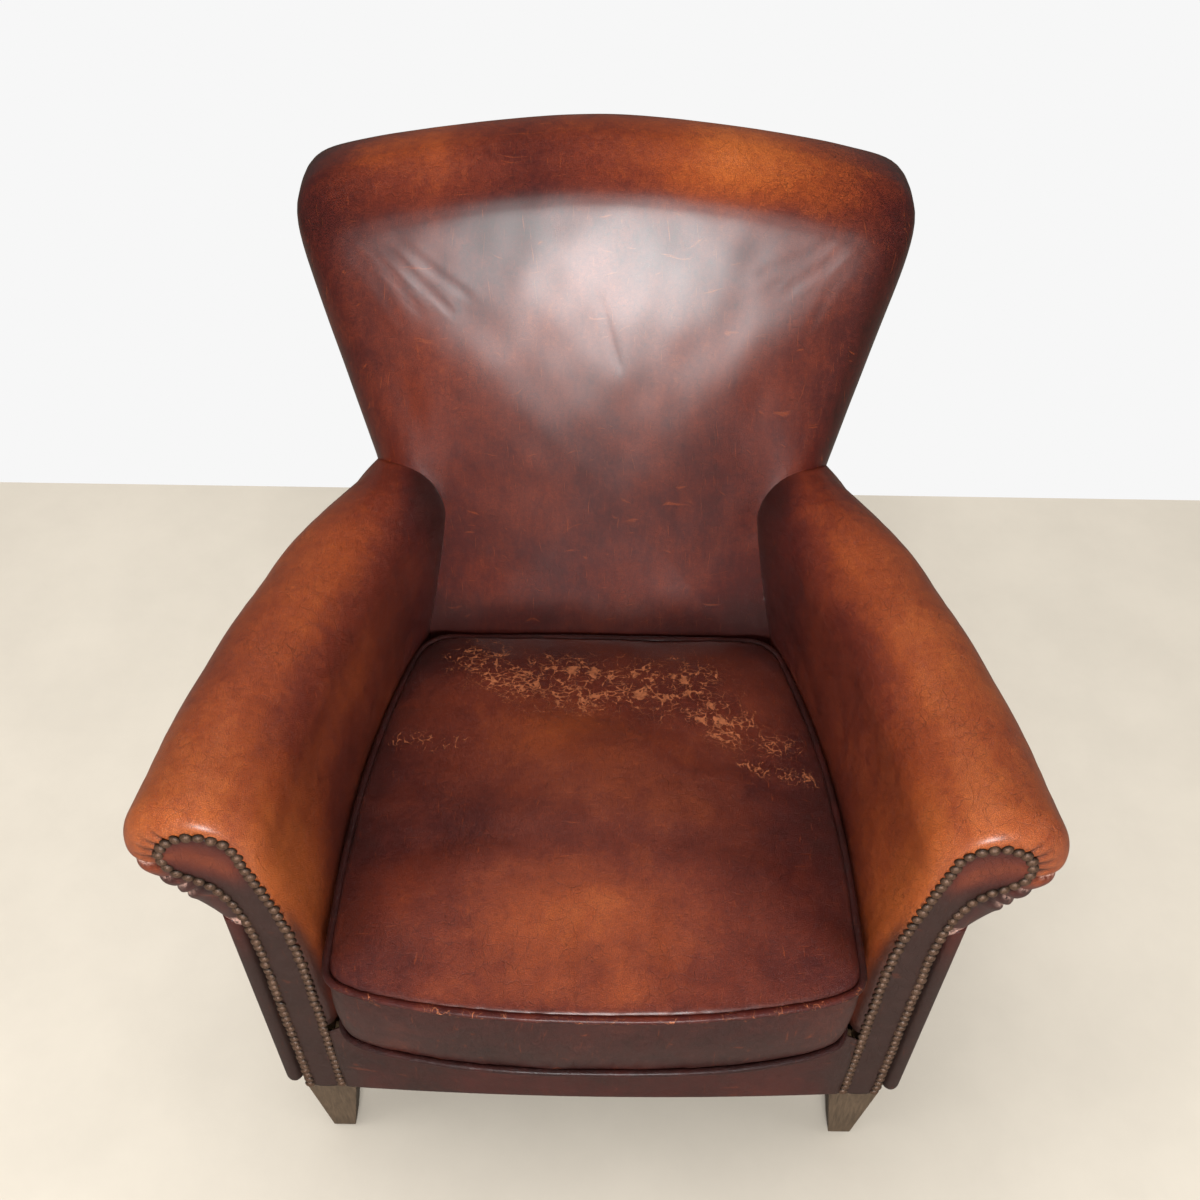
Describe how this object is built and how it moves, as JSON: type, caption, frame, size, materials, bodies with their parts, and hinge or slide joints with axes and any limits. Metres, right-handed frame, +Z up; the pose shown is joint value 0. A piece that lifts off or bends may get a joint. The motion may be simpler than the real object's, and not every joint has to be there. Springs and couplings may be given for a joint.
{
  "type": "club chair",
  "caption": "Low leather club chair with splayed rolled arms, nail-trimmed scroll fronts, a leaning camel back and a loose piped seat cushion on short tapered legs.",
  "frame": {"origin": "on the floor, in the middle of the chair's overall width and depth", "axes": "+Z up; the chair faces -Y; +X is the right-hand side in the picture, as seen by someone facing the chair"},
  "size_m": [0.8168, 0.7783, 0.9255],
  "materials": {
    "worn_leather": "glossy aged red-brown leather with orange wear",
    "dark_leather": "satin dark brown leather",
    "seat_leather": "glossy aged leather, cracked and rubbed",
    "piping_leather": "satin dark brown leather cord",
    "antique_nails": "antique bronze",
    "stained_wood": "stained grey-brown, satin",
    "frame_wood": "bare planed",
    "foam": "open-cell cushion foam",
    "spring_steel": "drawn wire",
    "webbing": "woven",
    "dust_cloth": "black spunbonded cloth",
    "glide_plastic": "moulded",
    "bolt_steel": "zinc plated"
  },
  "bodies": {
    "root": {"back_cover": "worn_leather", "back_foam": "foam", "back_lower_rail": "frame_wood", "back_strap_1": "webbing", "back_strap_2": "webbing", "back_strap_3": "webbing", "back_top_rail": "frame_wood", "dust_cover": "dust_cloth", "front_left_corner_block": "frame_wood", "front_left_leg": "stained_wood", "front_left_leg_bolt": "bolt_steel", "front_left_leg_glide": "glide_plastic", "front_rail_cover": "dark_leather", "front_right_corner_block": "frame_wood", "front_right_leg": "stained_wood", "front_right_leg_bolt": "bolt_steel", "front_right_leg_glide": "glide_plastic", "front_seat_rail": "frame_wood", "left_arm_cover": "worn_leather", "left_arm_facing": "dark_leather", "left_arm_padding": "foam", "left_arm_tacking_rail": "frame_wood", "left_arm_top_rail": "frame_wood", "left_back_post": "frame_wood", "left_front_arm_post": "frame_wood", "left_nail_trim": "antique_nails", "left_outside_arm_cover": "dark_leather", "left_rear_arm_post": "frame_wood", "left_seat_rail": "frame_wood", "outside_back_cover": "dark_leather", "rear_left_corner_block": "frame_wood", "rear_left_leg": "stained_wood", "rear_left_leg_bolt": "bolt_steel", "rear_left_leg_glide": "glide_plastic", "rear_right_corner_block": "frame_wood", "rear_right_leg": "stained_wood", "rear_right_leg_bolt": "bolt_steel", "rear_right_leg_glide": "glide_plastic", "rear_seat_rail": "frame_wood", "right_arm_cover": "worn_leather", "right_arm_facing": "dark_leather", "right_arm_padding": "foam", "right_arm_tacking_rail": "frame_wood", "right_arm_top_rail": "frame_wood", "right_back_post": "frame_wood", "right_front_arm_post": "frame_wood", "right_nail_trim": "antique_nails", "right_outside_arm_cover": "dark_leather", "right_rear_arm_post": "frame_wood", "right_seat_rail": "frame_wood", "seat_cushion_bottom_piping": "piping_leather", "seat_cushion_cover": "seat_leather", "seat_cushion_foam": "foam", "seat_cushion_top_piping": "piping_leather", "seat_cushion_zip": "webbing", "seat_deck_pad": "foam", "seat_spring_1": "spring_steel", "seat_spring_2": "spring_steel", "seat_spring_3": "spring_steel", "seat_spring_4": "spring_steel"}
  },
  "joints": []
}
